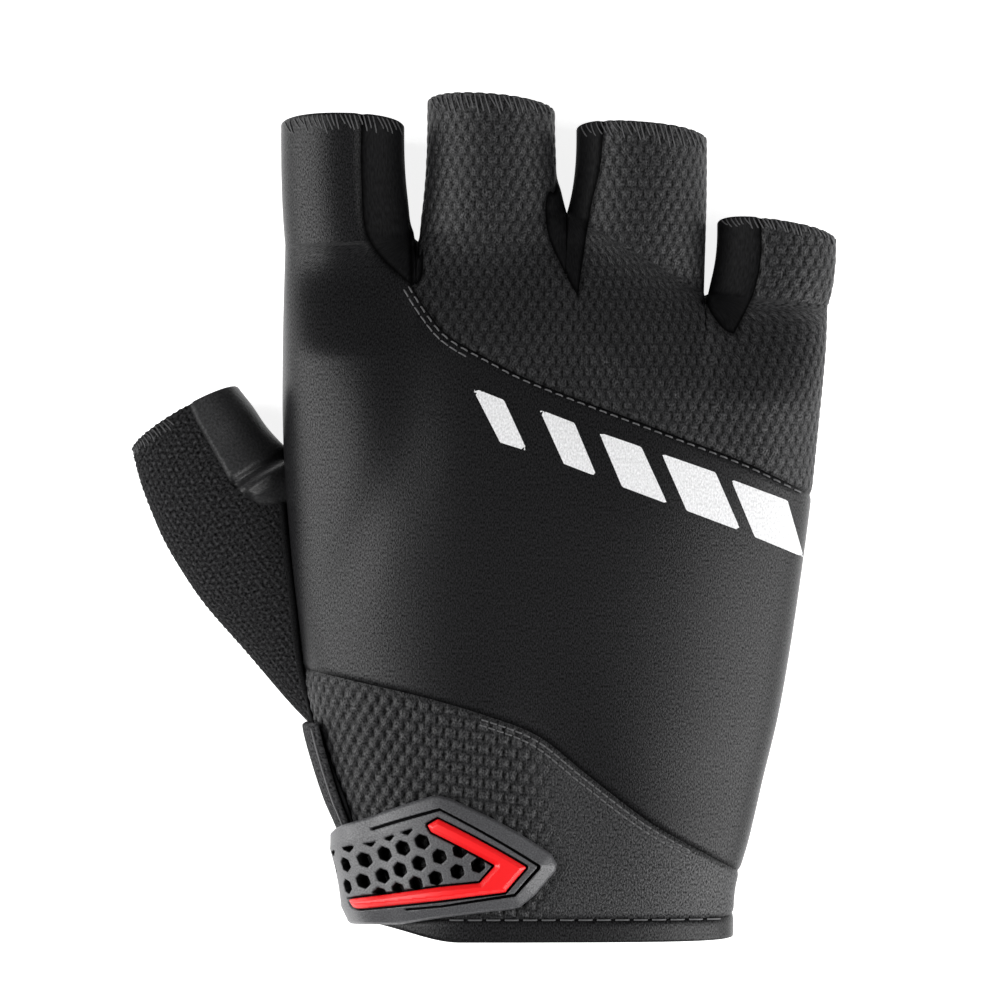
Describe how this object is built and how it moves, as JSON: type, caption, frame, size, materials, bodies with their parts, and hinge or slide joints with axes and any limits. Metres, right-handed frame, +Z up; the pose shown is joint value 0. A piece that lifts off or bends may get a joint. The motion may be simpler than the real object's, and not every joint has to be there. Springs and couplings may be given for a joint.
{
  "type": "fingerless cycling glove",
  "caption": "Fingerless cycling glove for a right hand: stretch back, honeycomb knit over knuckles and wrist, leather palm and a pierced rubber cuff strap.",
  "frame": {"origin": "on the floor under the middle of the glove's outline", "axes": "+X towards the little finger's side, +Y from the cuff to the fingertips, +Z up through the back of the hand"},
  "size_m": [0.127, 0.1522, 0.0375],
  "materials": {
    "stretch_cloth": "satin",
    "honeycomb_knit": "matte",
    "gusset_cloth": "matte",
    "terry_cloth": "matte",
    "palm_leather": "satin",
    "binding_tape": "matte",
    "strap_rubber": "satin",
    "red_rubber": "satin",
    "reflective_print": "satin"
  },
  "bodies": {
    "root": {"back_panel": "stretch_cloth", "knuckle_panel": "honeycomb_knit", "wrist_panel": "honeycomb_knit", "palm_panel": "palm_leather", "finger_gusset_1": "gusset_cloth", "finger_gusset_2": "gusset_cloth", "finger_gusset_3": "gusset_cloth", "thumb_back": "terry_cloth", "thumb_front": "palm_leather", "cuff_hem": "stretch_cloth", "side_binding": "binding_tape", "cuff_flap": "stretch_cloth", "strap_tab": "strap_rubber", "strap_insert": "red_rubber", "print_bar_1": "reflective_print", "print_bar_2": "reflective_print", "print_bar_3": "reflective_print", "print_bar_4": "reflective_print", "print_bar_5": "reflective_print"}
  },
  "joints": []
}
